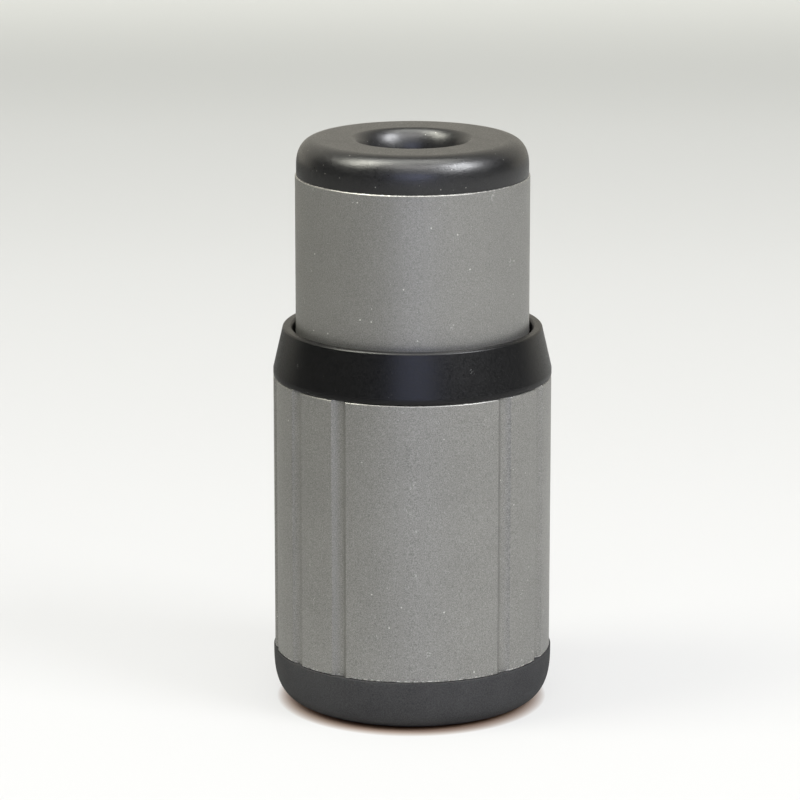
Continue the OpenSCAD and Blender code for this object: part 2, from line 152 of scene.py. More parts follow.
def smoothFaces(piece):
    deselectAll()
    piece.select_set(True)
    bpy.context.view_layer.objects.active = piece
    bpy.ops.object.shade_smooth_by_angle(angle=math.radians(smoothAngle))
    applyModifier(piece, piece.modifiers.new("flatFaces", "WEIGHTED_NORMAL"))


def cutAway(piece, cutter):
    cut = piece.modifiers.new("cut", "BOOLEAN")
    cut.operation = "DIFFERENCE"
    cut.solver = "EXACT"
    cut.object = cutter
    applyModifier(piece, cut)
    bpy.data.objects.remove(cutter)


def dressPiece(piece, finish, slotName, body, *nodes):
    piece.data.materials.clear()
    piece.data.materials.append(finish)
    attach(piece, body)
    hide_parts(*nodes)


def roundedCorner(wide, high, power, steps=32):
    # quarter of a rounded corner from (wide, 0) to (0, high), fuller than an ellipse above power 2
    turns = [math.pi / 2 * i / steps for i in range(steps)]
    arc = [(wide * math.cos(t) ** (2 / power), high * math.sin(t) ** (2 / power)) for t in turns]
    return arc + [(0, high)]


# Material building blocks

def addNode(tree, kind, inputs=None, **settings):
    node = tree.nodes.new(kind)
    for name, value in settings.items():
        setattr(node, name, value)
    for key, value in (inputs or {}).items():
        if isinstance(value, bpy.types.NodeSocket):
            tree.links.new(value, node.inputs[key])
        else:
            node.inputs[key].default_value = value
    return node


def doMath(tree, operation, first, second=0.0):
    return addNode(tree, "ShaderNodeMath", {0: first, 1: second}, operation=operation).outputs[0]


def multiplyVectors(tree, first, second):
    inputs = {0: first, 1: second}
    return addNode(tree, "ShaderNodeVectorMath", inputs, operation="MULTIPLY").outputs[0]


def scaleBy(tree, color, amount):
    inputs = {0: color, "Scale": amount}
    return addNode(tree, "ShaderNodeVectorMath", inputs, operation="SCALE").outputs[0]


def remap(tree, value, low, high, toLow=0.0, toHigh=1.0):
    inputs = {"Value": value, "From Min": low, "From Max": high, "To Min": toLow, "To Max": toHigh}
    return addNode(tree, "ShaderNodeMapRange", inputs).outputs[0]


def spread(tree, noise, low, high):
    # a noise carried over to the range from low to high
    return remap(tree, noise, *noiseReach, low, high)


def mixColors(tree, amount, first, second):
    node = addNode(tree, "ShaderNodeMix", {0: amount}, data_type="RGBA")
    for socket, value in ((node.inputs[6], first), (node.inputs[7], second)):
        if isinstance(value, bpy.types.NodeSocket):
            tree.links.new(value, socket)
        else:
            socket.default_value = (*value, 1)
    return node.outputs[2]


def grainOf(tree, place, size, detail=2.0, distortion=0.0):
    # noise whose spots are about this size across
    inputs = {"Vector": place, "Scale": 1 / size, "Detail": detail, "Distortion": distortion}
    return addNode(tree, "ShaderNodeTexNoise", inputs).outputs["Fac"]


# where the edges of specks and hairs fade, in radii and widths, and how the hairs are spread
fades = {"speck": (1.3, 0.7), "hair": (1.4, 0.6), "curl": 1.5, "patch": 1.7, "patchEnd": 1.02}


def specksOf(tree, place, spacing, radius, share):
    # a share of the round specks that lie this far apart
    cells = addNode(tree, "ShaderNodeTexVoronoi", {"Vector": place, "Scale": 1 / spacing})
    fade = (end * radius / spacing for end in fades["speck"])
    near = remap(tree, cells.outputs["Distance"], *fade)
    chance = addNode(tree, "ShaderNodeSeparateColor", {0: cells.outputs["Color"]}).outputs[0]
    return doMath(tree, "MULTIPLY", near, doMath(tree, "LESS_THAN", chance, share))


def fibresOf(tree, place, size, width, share):
    # short curved hairs: where a noise crosses its middle, in a few patches only
    curl = grainOf(tree, place, size, 0.0, fades["curl"])
    offMiddle = doMath(tree, "ABSOLUTE", doMath(tree, "SUBTRACT", curl, 0.5))
    hair = remap(tree, offMiddle, *(end * width / size for end in fades["hair"]))
    patches = grainOf(tree, place, fades["patch"] * size, 0.0)
    patch = remap(tree, patches, 1 - share, fades["patchEnd"] - share)
    return doMath(tree, "MULTIPLY", hair, patch)


def radiusOf(tree, place):
    # distance from the axis
    inputs = {0: multiplyVectors(tree, place, (1, 1, 0))}
    return addNode(tree, "ShaderNodeVectorMath", inputs, operation="LENGTH").outputs["Value"]


def heightOf(tree, place):
    return addNode(tree, "ShaderNodeSeparateXYZ", {0: place}).outputs["Z"]


def startFinish(name, color, roughness, metallic=0.0, **sockets):
    # a socket's name is given with underscores for its spaces
    finish = bpy.data.materials.new(name)
    finish.use_nodes = True
    tree = finish.node_tree
    shader = tree.nodes["Principled BSDF"]
    shader.inputs["Base Color"].default_value = (*color, 1)
    shader.inputs["Roughness"].default_value = roughness
    shader.inputs["Metallic"].default_value = metallic
    for socket, value in sockets.items():
        shader.inputs[socket.replace("_", " ")].default_value = value
    place = addNode(tree, "ShaderNodeTexCoord").outputs["Object"]
    return finish, tree, shader, place


def setSocket(tree, shader, socket, value):
    tree.links.new(value, shader.inputs[socket])


def setBump(tree, shader, height, depth, strength=1.0):
    inputs = {"Height": height, "Distance": depth, "Strength": strength}
    setSocket(tree, shader, "Normal", addNode(tree, "ShaderNodeBump", inputs).outputs[0])


def addDirt(tree, shader, dirt, share, color, dirtColor):
    # this share of the dirt's colour over the clean one
    amount = doMath(tree, "MULTIPLY", dirt, share)
    setSocket(tree, shader, "Base Color", mixColors(tree, amount, color, dirtColor))


# Finishes; specks are spacing, radius and share, and hairs are size, width and share

paint = {
    "color": (0.26, 0.257, 0.243), "roughness": 0.42, "roughSpread": 0.05, "metallic": 0.75,
    "grain": 0.11 * mm, "mottle": 6 * mm, "mottleShade": 0.03, "bump": (0.014 * mm, 0.6),
    "flake": (0.66, 0.65, 0.61), "flakes": (0.5 * mm, 0.045 * mm, 0.2), "flakeShare": 0.4,
    "dust": (0.75, 0.74, 0.7), "specks": (1.6 * mm, 0.09 * mm, 0.45),
    "hairs": (0.7 * mm, 0.016 * mm, 0.2), "hairShare": 0.6, "dustShare": 0.8,
    "dustRough": 0.3, "dustLift": 1.5,
    # bare metal: its colour, and how the ragged edge of the paint runs
    "metal": (0.6, 0.59, 0.56), "ragged": 0.4 * mm, "raggedReach": (0.62, 0.82),
    "raggedShift": 0.3,
}


def makePaint(name, contrast, bareEdges):
    # grey metallic paint with grain this strong; each bare edge is height, width and share worn
    p = paint
    finish, tree, shader, place = startFinish(name, p["color"], p["roughness"], p["metallic"])
    grain = grainOf(tree, place, p["grain"])
    mottle = grainOf(tree, place, p["mottle"])
    shade = doMath(tree, "ADD", spread(tree, grain, 1 - contrast, 1 + contrast),
                   spread(tree, mottle, -p["mottleShade"], p["mottleShade"]))
    shaded = scaleBy(tree, p["color"], shade)
    flakes = specksOf(tree, place, *p["flakes"])
    hairs = doMath(tree, "MULTIPLY", fibresOf(tree, place, *p["hairs"]), p["hairShare"])
    dust = doMath(tree, "MAXIMUM", specksOf(tree, place, *p["specks"]), hairs)
    flakes = doMath(tree, "MULTIPLY", flakes, p["flakeShare"])
    color = mixColors(tree, flakes, shaded, p["flake"])
    color = mixColors(tree, doMath(tree, "MULTIPLY", dust, p["dustShare"]), color, p["dust"])
    ragged = grainOf(tree, place, p["ragged"], 3.0)
    height = heightOf(tree, place)
    worn = 0.0
    for edge, width, share in bareEdges:
        near = doMath(tree, "ABSOLUTE", doMath(tree, "SUBTRACT", height, edge))
        low, high = (end - p["raggedShift"] * share for end in p["raggedReach"])
        reach = remap(tree, ragged, low, high, 0.0, width)
        worn = doMath(tree, "MAXIMUM", worn, doMath(tree, "LESS_THAN", near, reach))
    setSocket(tree, shader, "Base Color", mixColors(tree, worn, color, p["metal"]))
    rough = spread(tree, grain, p["roughSpread"], -p["roughSpread"])
    rough = doMath(tree, "ADD", rough, p["roughness"])
    rough = doMath(tree, "ADD", rough, doMath(tree, "MULTIPLY", dust, p["dustRough"]))
    setSocket(tree, shader, "Roughness", rough)
    lift = doMath(tree, "ADD", grain, doMath(tree, "MULTIPLY", dust, p["dustLift"]))
    setBump(tree, shader, lift, *p["bump"])
    return finish


collarFinish = {
    "color": (0.0025, 0.0025, 0.0028), "dark": (0.0018, 0.0018, 0.002),
    "light": (0.0032, 0.0032, 0.0035), "roughness": 0.36, "roughReach": (0.29, 0.43),
    "shine": 0.35, "grain": 0.2 * mm,
    "bump": (0.012 * mm, 0.6), "specks": (1.7 * mm, 0.04 * mm, 0.3),
    "hairs": (0.6 * mm, 0.014 * mm, 0.2), "lint": (0.3, 0.3, 0.29), "lintShare": 0.25,
}


def makeCollarBlack():
    c = collarFinish
    finish, tree, shader, place = startFinish("collarBlack", c["color"], c["roughness"],
                                              Specular_IOR_Level=c["shine"])
    grain = grainOf(tree, place, c["grain"], 3.0)
    lint = doMath(tree, "MAXIMUM", specksOf(tree, place, *c["specks"]),
                  fibresOf(tree, place, *c["hairs"]))
    color = mixColors(tree, spread(tree, grain, 0.0, 1.0), c["dark"], c["light"])
    addDirt(tree, shader, lint, c["lintShare"], color, c["lint"])
    setSocket(tree, shader, "Roughness", spread(tree, grain, *c["roughReach"]))
    setBump(tree, shader, grain, *c["bump"])
    return finish


bumperFinish = {
    "color": (0.022, 0.022, 0.023), "tones": (0.02, 0.024), "grainTone": 0.011, "blue": 0.001,
    "roughness": 0.78, "roughReach": (0.8, 0.74), "shine": 0.35, "grain": 0.14 * mm,
    "cloud": 4 * mm,
    "bump": (0.02 * mm, 0.7), "specks": (2.4 * mm, 0.07 * mm, 0.25), "lint": (0.4, 0.39, 0.36),
    "lintShare": 0.4,
}


def makeBumperRubber():
    b = bumperFinish
    finish, tree, shader, place = startFinish("bumperRubber", b["color"], b["roughness"],
                                              Specular_IOR_Level=b["shine"])
    grain = grainOf(tree, place, b["grain"], 3.0)
    cloud = grainOf(tree, place, b["cloud"])
    lint = specksOf(tree, place, *b["specks"])
    tone = doMath(tree, "ADD", spread(tree, grain, -b["grainTone"], b["grainTone"]),
                  spread(tree, cloud, *b["tones"]))
    inputs = {0: tone, 1: tone, 2: doMath(tree, "ADD", tone, b["blue"])}
    rubber = addNode(tree, "ShaderNodeCombineColor", inputs).outputs[0]
    addDirt(tree, shader, lint, b["lintShare"], rubber, b["lint"])
    setSocket(tree, shader, "Roughness", spread(tree, cloud, *b["roughReach"]))
    setBump(tree, shader, grain, *b["bump"])
    return finish


eyecupFinish = {
    "color": (0.006, 0.006, 0.0062), "dark": (0.003, 0.003, 0.0032),
    "light": (0.009, 0.009, 0.0094),
    "roughness": 0.35, "smearRough": (0.33, 0.37), "grainRough": 0.07, "shine": 0.68,
    "grain": 0.18 * mm, "smear": (3 * mm, 2.0, 0.6), "bump": (0.02 * mm, 0.7),
    "specks": (0.95 * mm, 0.055 * mm, 0.8), "dust": (0.45, 0.44, 0.41), "dustShare": 0.6,
}


def makeEyecupRubber():
    e = eyecupFinish
    finish, tree, shader, place = startFinish("eyecupRubber", e["color"], e["roughness"],
                                              Specular_IOR_Level=e["shine"])
    grain = grainOf(tree, place, e["grain"], 3.0)
    smear = grainOf(tree, place, *e["smear"])
    dust = specksOf(tree, place, *e["specks"])
    color = mixColors(tree, spread(tree, grain, 0.0, 1.0), e["dark"], e["light"])
    addDirt(tree, shader, dust, e["dustShare"], color, e["dust"])
    rough = doMath(tree, "ADD", spread(tree, smear, *e["smearRough"]),
                   spread(tree, grain, -e["grainRough"], e["grainRough"]))
    setSocket(tree, shader, "Roughness", rough)
    setBump(tree, shader, grain, *e["bump"])
    return finish


turned = {
    "cloud": 2.5 * mm, "lineTone": (0.88, 1.08), "cloudTone": (0.92, 1.06), "lineRough": 0.05,
    "cloudRough": 0.06, "specks": (1.5 * mm, 0.04 * mm, 0.25), "dust": (0.5, 0.49, 0.46),
    "dustShare": 0.5, "bumpStrength": 0.5,
}


def makeTurned(name, color, roughness, metallic, pitch, depth):
    # with fine lines round the axis, as a lathe leaves them, on the sides and on the end faces
    t = turned
    finish, tree, shader, place = startFinish(name, color, roughness, metallic)
    inputs = {"X": radiusOf(tree, place), "Z": heightOf(tree, place)}
    along = addNode(tree, "ShaderNodeCombineXYZ", inputs).outputs[0]
    lines = grainOf(tree, along, pitch)
    cloud = grainOf(tree, place, t["cloud"], 3.0)
    tone = doMath(tree, "MULTIPLY", spread(tree, lines, *t["lineTone"]),
                  spread(tree, cloud, *t["cloudTone"]))
    dust = specksOf(tree, place, *t["specks"])
    addDirt(tree, shader, dust, t["dustShare"], scaleBy(tree, color, tone), t["dust"])
    rough = doMath(tree, "ADD", spread(tree, lines, -t["lineRough"], t["lineRough"]),
                   spread(tree, cloud, -t["cloudRough"], t["cloudRough"]))
    setSocket(tree, shader, "Roughness", doMath(tree, "ADD", rough, roughness))
    setBump(tree, shader, lines, depth, t["bumpStrength"])
    return finish


moulded = {
    "cloudRatio": 20, "grainTone": (0.9, 1.1), "cloudTone": (0.92, 1.08), "cloudRough": 0.06,
    "bumpStrength": 0.6,
}


def makeMoulded(name, color, roughness, grainSize, depth):
    m = moulded
    finish, tree, shader, place = startFinish(name, color, roughness)
    grain = grainOf(tree, place, grainSize, 3.0)
    cloud = grainOf(tree, place, m["cloudRatio"] * grainSize)
    tone = doMath(tree, "MULTIPLY", spread(tree, grain, *m["grainTone"]),
                  spread(tree, cloud, *m["cloudTone"]))
    setSocket(tree, shader, "Base Color", scaleBy(tree, color, tone))
    low, high = roughness - m["cloudRough"], roughness + m["cloudRough"]
    setSocket(tree, shader, "Roughness", spread(tree, cloud, low, high))
    setBump(tree, shader, grain, depth, m["bumpStrength"])
    return finish


glass = {
    "roughness": 0.01, "smear": (3 * mm, 3.0, 1.0), "specks": (1.2 * mm, 0.03 * mm, 0.2),
    "smearRough": (0.5, 0.8, 0.0, 0.05), "dustRough": 0.5, "smearTone": (0.4, 0.8, 1.0, 0.97),
}


def makeGlass(name, tint, index, shine):
    # shine is the colour of the coating's reflection
    g = glass
    finish, tree, shader, place = startFinish(name, tint, g["roughness"], IOR=index,
                                              Transmission_Weight=1.0)
    shader.inputs["Specular Tint"].default_value = (*shine, 1)
    smear = grainOf(tree, place, *g["smear"])
    dust = specksOf(tree, place, *g["specks"])
    rough = doMath(tree, "ADD", remap(tree, smear, *g["smearRough"]),
                   doMath(tree, "MULTIPLY", dust, g["dustRough"]))
    setSocket(tree, shader, "Roughness", rough)
    clear = remap(tree, smear, *g["smearTone"])
    setSocket(tree, shader, "Base Color", scaleBy(tree, tint, clear))
    return finish


def makeInnerFinishes():
    # turned: colour, roughness, metallic, grain's pitch and depth; moulded: without metallic
    print("inner finishes")
    felt = makeMoulded("blackFelt", (0.016, 0.016, 0.016), 0.93, 0.09 * mm, 0.06 * mm)
    felt.node_tree.nodes["Principled BSDF"].inputs["Sheen Weight"].default_value = 0.3
    return {
        "felt": felt,
        "liner_brass": makeTurned(
            "greasedBrass", (0.62, 0.47, 0.2), 0.28, 1.0, 0.12 * mm, 0.01 * mm),
        "black_anodised": makeTurned(
            "blackAnodised", (0.018, 0.018, 0.02), 0.5, 0.0, 0.09 * mm, 0.008 * mm),
        "coated_glass": makeGlass("coatedGlass", (0.97, 0.99, 1.0), 1.52, (0.35, 0.75, 1.0)),
        "flint_glass": makeGlass("flintGlass", (0.99, 0.99, 0.97), 1.62, (0.8, 0.9, 1.0)),
        "prism_glass": makeGlass("prismGlass", (0.97, 0.99, 0.98), 1.57, (0.8, 0.9, 1.0)),
        "seal_rubber": makeMoulded("sealRubber", (0.02, 0.02, 0.02), 0.4, 0.1 * mm, 0.004 * mm),
        "black_plastic": makeMoulded(
            "blackPlastic", (0.02, 0.02, 0.02), 0.6, 0.12 * mm, 0.015 * mm),
        "acetal": makeMoulded("whiteAcetal", (0.78, 0.78, 0.74), 0.4, 0.1 * mm, 0.006 * mm),
        "steel": makeTurned("brightSteel", (0.6, 0.6, 0.62), 0.26, 1.0, 0.06 * mm, 0.004 * mm),
        "shim_foil": makeTurned("brassFoil", (0.6, 0.45, 0.18), 0.3, 1.0, 0.15 * mm, 0.003 * mm),
    }


def dressInnerNodes(finishes):
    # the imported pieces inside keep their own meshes
    for part in frame["record"]["subparts"]:
        if part["material_slot"] in finishes:
            node = frame["nodes"][part["node"]]
            if not node.material_slots:
                node.data.materials.append(None)
            for slot in node.material_slots:
                slot.material = finishes[part["material_slot"]]


# Floor, backdrop and lights

stage = {
    "front": -1.6, "back": 0.95, "half": 1.6, "height": 1.3, "sweep": 0.3, "sweepSteps": 24,
    "floorEnd": 0.65,
}
paper = {
    "bounce": (0.75, 0.75, 0.74), "wall": (0.75, 0.715, 0.62),
    # the floor's tone from near to far, a painted falloff of light, darker further back and lighter
    # again near the backdrop: distance behind the middle, and colour
    "tones": ((-0.05, (0.99, 0.99, 0.985)), (0.1, (0.937, 0.937, 0.925)),
              (0.25, (0.845, 0.847, 0.825)), (0.38, (0.753, 0.757, 0.728)),
              (0.48, (0.722, 0.727, 0.69)), (0.6, (0.93, 0.935, 0.88))),
    "shadowShare": 0.35,       # how much of that tone the object's shadow can take away
    "level": 2.6,              # the lamps' light on the floor, which that share is divided by
    # a painted shadow under the bumper's overhang, where the floor's glow fades out: its middle, its
    # start and end, and its painted brown tint
    "footMiddle": (-0.1 * mm, -1.2 * mm, 0), "footDark": (12.2 * mm, 15.7 * mm),
    "footShadowTint": (1, 0.52, 0.26), "footFade": 2.4,
    # reflections of the floor darken towards the left, from one of these X places to the other
    "sheetEnd": (0.02, -0.14), "sheetTone": (0.7, 0.05),
}


def makeStage():
    print("floor and backdrop")
    deselectAll()
    bpy.ops.mesh.primitive_plane_add(size=2, location=(0, 0, 0), enter_editmode=True)
    sheet = bpy.context.object
    sheet.name = "paperFloor"
    depth = stage["back"] - stage["front"]
    bpy.ops.transform.resize(value=(stage["half"], depth / 2, 1), center_override=(0, 0, 0))
    bpy.ops.transform.translate(value=(0, (stage["back"] + stage["front"]) / 2, 0))
    pickVerts(sheet, lambda at: at.y > stage["back"] - mm)
    bpy.ops.mesh.extrude_region_move(TRANSFORM_OT_translate={"value": (0, 0, stage["height"])})
    pickVerts(sheet, lambda at: at.y > stage["back"] - mm and at.z < mm)
    bpy.ops.mesh.bevel(offset=stage["sweep"], segments=stage["sweepSteps"])
    bpy.ops.mesh.select_all(action="SELECT")
    bpy.ops.mesh.bisect(plane_co=(0, stage["floorEnd"], 0), plane_no=(0, 1, 0))
    pickVerts(sheet, lambda at: at.y > stage["floorEnd"] - weldGap)
    bpy.ops.mesh.separate(type="SELECTED")
    bpy.ops.object.mode_set(mode="OBJECT")
    wall = [piece for piece in bpy.context.selected_objects if piece is not sheet][0]
    wall.name = "paperBackdrop"
    for piece, finish in ((sheet, makeFloorPaper()), (wall, makeBackdropPaper())):
        smoothFaces(piece)
        piece.data.materials.append(finish)


def rayShare(tree):
    # 1 for the rays that show the background: to the camera, and off or through the object
    path = addNode(tree, "ShaderNodeLightPath").outputs
    seen = doMath(tree, "MAXIMUM", path["Is Camera Ray"], path["Is Glossy Ray"])
    return doMath(tree, "MAXIMUM", seen, path["Is Transmission Ray"])


def makeFloorPaper():
    finish, tree, shader, place = startFinish("floorPaper", paper["bounce"], 1.0,
                                              Specular_IOR_Level=0.0)
    near, far = paper["tones"][0][0], paper["tones"][-1][0]
    ground = addNode(tree, "ShaderNodeSeparateXYZ", {0: place}).outputs
    # the painted falloff of light over the floor, by distance behind the middle
    ramp = addNode(tree, "ShaderNodeValToRGB", {0: remap(tree, ground["Y"], near, far)})
    stops = ramp.color_ramp.elements
    while len(stops) < len(paper["tones"]):
        stops.new(0.5)         # moved to its place below
    for stop, (at, color) in zip(stops, paper["tones"]):
        stop.position = (at - near) / (far - near)
        stop.color = (*color, 1)
    ramp.color_ramp.interpolation = "CARDINAL"
    seen = rayShare(tree)
    share = scaleBy(tree, ramp.outputs[0], paper["shadowShare"] / paper["level"])
    # painted shadow: near the foot the floor's glow fades out and its colour turns brown
    inputs = {0: place, 1: paper["footMiddle"]}
    offFoot = addNode(tree, "ShaderNodeVectorMath", inputs, operation="SUBTRACT").outputs[0]
    clear = remap(tree, radiusOf(tree, offFoot), *paper["footDark"])
    tint = mixColors(tree, clear, paper["footShadowTint"], (1, 1, 1))
    shadowTinted = multiplyVectors(tree, share, tint)
    setSocket(tree, shader, "Base Color", mixColors(tree, seen, paper["bounce"], shadowTinted))
    setSocket(tree, shader, "Emission Color", multiplyVectors(tree, ramp.outputs[0], tint))
    strength = doMath(tree, "POWER", clear, paper["footFade"])
    strength = doMath(tree, "MULTIPLY", strength, 1 - paper["shadowShare"])
    mirrored = addNode(tree, "ShaderNodeLightPath").outputs["Is Glossy Ray"]
    lost = remap(tree, ground["X"], *paper["sheetEnd"], *(1 - tone for tone in paper["sheetTone"]))
    sheet = doMath(tree, "SUBTRACT", 1.0, doMath(tree, "MULTIPLY", mirrored, lost))
    strength = doMath(tree, "MULTIPLY", doMath(tree, "MULTIPLY", seen, strength), sheet)
    setSocket(tree, shader, "Emission Strength", strength)
    return finish


def makeBackdropPaper():
    finish, tree, shader = startFinish("backdropPaper", paper["bounce"], 1.0,
                                       Specular_IOR_Level=0.0)[:3]
    shader.inputs["Emission Color"].default_value = (*paper["wall"], 1)
    seen = rayShare(tree)
    setSocket(tree, shader, "Base Color", mixColors(tree, seen, paper["bounce"], (0, 0, 0)))
    setSocket(tree, shader, "Emission Strength", seen)
    return finish


# place is azimuth from the front towards the right, and elevation, in degrees, and distance
lamps = {
    "boxLeft": {"place": (-75, 55, 1.0), "size": (0.35, 0.55), "power": 10.5,
                "color": (1, 0.99, 0.88)},
    "boxRight": {"place": (60, 44, 1.0), "size": (0.35, 0.45), "power": 11.0,
                 "color": (0.96, 0.97, 1)},
    "lowRight": {"place": (42, 32, 1.2), "size": (0.4, 0.4), "power": 2.2,
                 "color": (0.97, 0.98, 1)},
    "frontKey": {"place": (0, 56, 1.2), "size": (0.8, 0.3), "power": 4.5,
                 "color": (1, 0.98, 0.97)},
    "topHigh": {"place": (0, 88, 1.1), "size": (1.0, 0.6), "power": 9.0,
                "color": (1, 1, 0.95)},
    "frontLow": {"place": (8, 38, 1.2), "size": (0.8, 0.3), "power": 1.5,
                 "color": (0.97, 0.98, 1)},
    "window": {"place": (2, 13, 1.6), "size": (0.9, 0.5), "power": 4.2,
               "color": (0.6, 0.66, 1)},
    "sideFill": {"place": (85, 10, 1.4), "size": (1.4, 0.5), "power": 0.2,
                 "color": (0.95, 1, 0.95)},
}
room = {"color": (1.0, 0.95, 0.88), "strength": 0.02}


def placeLamp(name, lamp):
    azimuth, elevation = (math.radians(angle) for angle in lamp["place"][:2])
    distance = lamp["place"][2]
    data = bpy.data.lights.new(name, "AREA")
    data.shape = "RECTANGLE"
    data.size, data.size_y = lamp["size"]
    data.energy = lamp["power"]
    data.color = lamp["color"]
    holder = bpy.data.objects.new(name, data)
    bpy.context.scene.collection.objects.link(holder)
    holder.location = (distance * math.sin(azimuth) * math.cos(elevation),
                       -distance * math.cos(azimuth) * math.cos(elevation),
                       cadMiddle + distance * math.sin(elevation))
    holder.rotation_euler = (math.pi / 2 - elevation, 0, azimuth)
    holder.visible_camera = False


def makeLights():
    print("lights")
    world = bpy.data.worlds.new("room")
    bpy.context.scene.world = world
    world.use_nodes = True
    backing = world.node_tree.nodes["Background"]
    backing.inputs["Color"].default_value = (*room["color"], 1)
    backing.inputs["Strength"].default_value = room["strength"]
    for name, lamp in lamps.items():
        placeLamp(name, lamp)


# Barrel

barrel = {
    "columns": 540, "grooveColumns": 10, "pitch": 24, "grooves": 13, "panelAngle": 4.65,
    "radius": 16 * mm, "bottom": 6.05 * mm, "top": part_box("barrel_sleeve")[1].z,
    "depth": 0.5 * mm, "hollowSteps": 24, "mouthRound": 0.05 * mm, "endRound": 0.15 * mm,
    "roundSteps": 3, "spigotRadius": 14.6 * mm, "spigotBottom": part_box("barrel_sleeve")[0].z,
    "cellBore": 12.2 * mm, "seat": 11 * mm, "bore": 14.9 * mm,
    # the paint's grain, and its worn edges as width and share
    "contrast": 0.33, "wornTop": (0.09 * mm, 0.1), "wornBottom": (0.22 * mm, 0.7),
}


def roundEnd(piece, start, direction):
    # carries the wall's end on in a quarter round, which only the lands take part in
    steps, r = barrel["roundSteps"], barrel["endRound"]
    lastRatio, lastRise = 1.0, 0.0
    for i in range(1, steps + 1):
        angle = math.pi / 2 * i / steps
        inset, rise = r * (1 - math.cos(angle)), r * math.sin(angle)
        height = start + direction * lastRise
        pickVerts(piece, lambda at: abs(at.z - height) < weldGap)
        move = (0, 0, direction * (rise - lastRise))
        bpy.ops.mesh.extrude_region_move(TRANSFORM_OT_translate={"value": move})
        ratio = 1 - inset / barrel["radius"]
        height = start + direction * rise
        limit = barrel["radius"] - inset
        pickVerts(piece, lambda at: abs(at.z - height) < weldGap and math.hypot(at.x, at.y) > limit)
        shrink = ratio / lastRatio
        bpy.ops.transform.resize(value=(shrink, shrink, 1), center_override=(0, 0, 0))
        lastRatio, lastRise = ratio, rise


def makeBarrel():
    print("barrel")
    b = barrel
    column = 360 / b["columns"]
    mouth = column * b["grooveColumns"] / 2
    deselectAll()
    bpy.ops.mesh.primitive_circle_add(
        vertices=b["columns"], radius=b["radius"], fill_type="NOTHING", location=(0, 0, 0),
        enter_editmode=True)
    piece = bpy.context.object
    piece.name = piece.data.name = "barrelBody"
    # one groove with half a land on each side of it
    pickVerts(piece, lambda at: abs(frontAngle(at)) > (b["pitch"] + column) / 2)
    bpy.ops.mesh.delete(type="VERT")
    pickVerts(piece, lambda at: abs(frontAngle(at)) < mouth - column / 2)
    bpy.ops.mesh.delete(type="VERT")
    # its hollow floor, point by point from one lip to the other
    halfWidth = b["radius"] * math.sin(math.radians(mouth))
    sink = b["radius"] * math.cos(math.radians(mouth)) - b["radius"] + b["depth"]
    curve = (halfWidth ** 2 + sink ** 2) / 2 / sink
    reach = math.asin(halfWidth / curve)
    turns = [reach * (2 * i / b["hollowSteps"] - 1) for i in range(b["hollowSteps"] + 1)]
    pickVerts(piece, lambda at: abs(at.x + halfWidth) < weldGap)
    for last, now in zip(turns, turns[1:]):
        across = curve * (math.sin(now) - math.sin(last))
        inward = curve * (math.cos(now) - math.cos(last))
        bpy.ops.mesh.extrude_region_move(TRANSFORM_OT_translate={"value": (across, inward, 0)})
    bpy.ops.mesh.select_all(action="SELECT")
    bpy.ops.mesh.remove_doubles(threshold=weldGap)
    pickVerts(piece, lambda at: abs(abs(at.x) - halfWidth) < weldGap)
    bpy.ops.mesh.bevel(offset=b["mouthRound"], segments=b["roundSteps"], affect="VERTICES")
    # the wall, with its rounded ends
    low, high = b["bottom"] + b["endRound"], b["top"] - b["endRound"]
    bpy.ops.mesh.select_all(action="SELECT")
    bpy.ops.transform.translate(value=(0, 0, low))
    bpy.ops.mesh.extrude_region_move(TRANSFORM_OT_translate={"value": (0, 0, high - low)})
    roundEnd(piece, high, 1)
    roundEnd(piece, low, -1)
    # the other grooves, then the plain panel
    bpy.ops.mesh.select_all(action="SELECT")
    bpy.ops.mesh.spin(
        steps=b["grooves"] - 1, dupli=True, angle=math.radians(b["pitch"] * (b["grooves"] - 1)),
        center=(0, 0, 0), axis=(0, 0, 1))
    panel = 360 - b["pitch"] * b["grooves"]
    pickVerts(piece, lambda at: abs(frontAngle(at) - b["pitch"] / 2) < column / 4)
    bpy.ops.mesh.spin(
        steps=round(panel / column), angle=-math.radians(panel), center=(0, 0, 0), axis=(0, 0, 1))
    bpy.ops.mesh.select_all(action="SELECT")
    bpy.ops.mesh.remove_doubles(threshold=weldGap)
    turnBack = (panel + b["pitch"]) / 2 - b["panelAngle"]
    bpy.ops.transform.rotate(
        value=math.radians(turnBack), orient_axis="Z", center_override=(0, 0, 0))
    bpy.ops.object.mode_set(mode="OBJECT")
    # the bore and the spigot, bridged to the wall
    inner = sweepOutline("barrelBore", [
        (b["spigotRadius"], b["bottom"]), (b["spigotRadius"], b["spigotBottom"]),
        (b["cellBore"], b["spigotBottom"]), (b["cellBore"], b["seat"]), (b["bore"], b["seat"]),
        (b["bore"], b["top"])], steps=b["columns"], closed=False)
    deselectAll()
    inner.select_set(True)
    piece.select_set(True)
    bpy.context.view_layer.objects.active = piece
    bpy.ops.object.join()
    bpy.ops.object.mode_set(mode="EDIT")
    for height in (b["top"], b["bottom"]):
        pickVerts(piece, lambda at: abs(at.z - height) < weldGap)
        bpy.ops.mesh.bridge_edge_loops()
    mergeAndFace()
    bpy.ops.object.mode_set(mode="OBJECT")
    smoothFaces(piece)
    finish = makePaint("barrelPaint", b["contrast"],
                       [(b["top"], *b["wornTop"]), (b["bottom"], *b["wornBottom"])])
    dressPiece(piece, finish, "grey_paint", "barrel", "barrel_sleeve")


# Collar

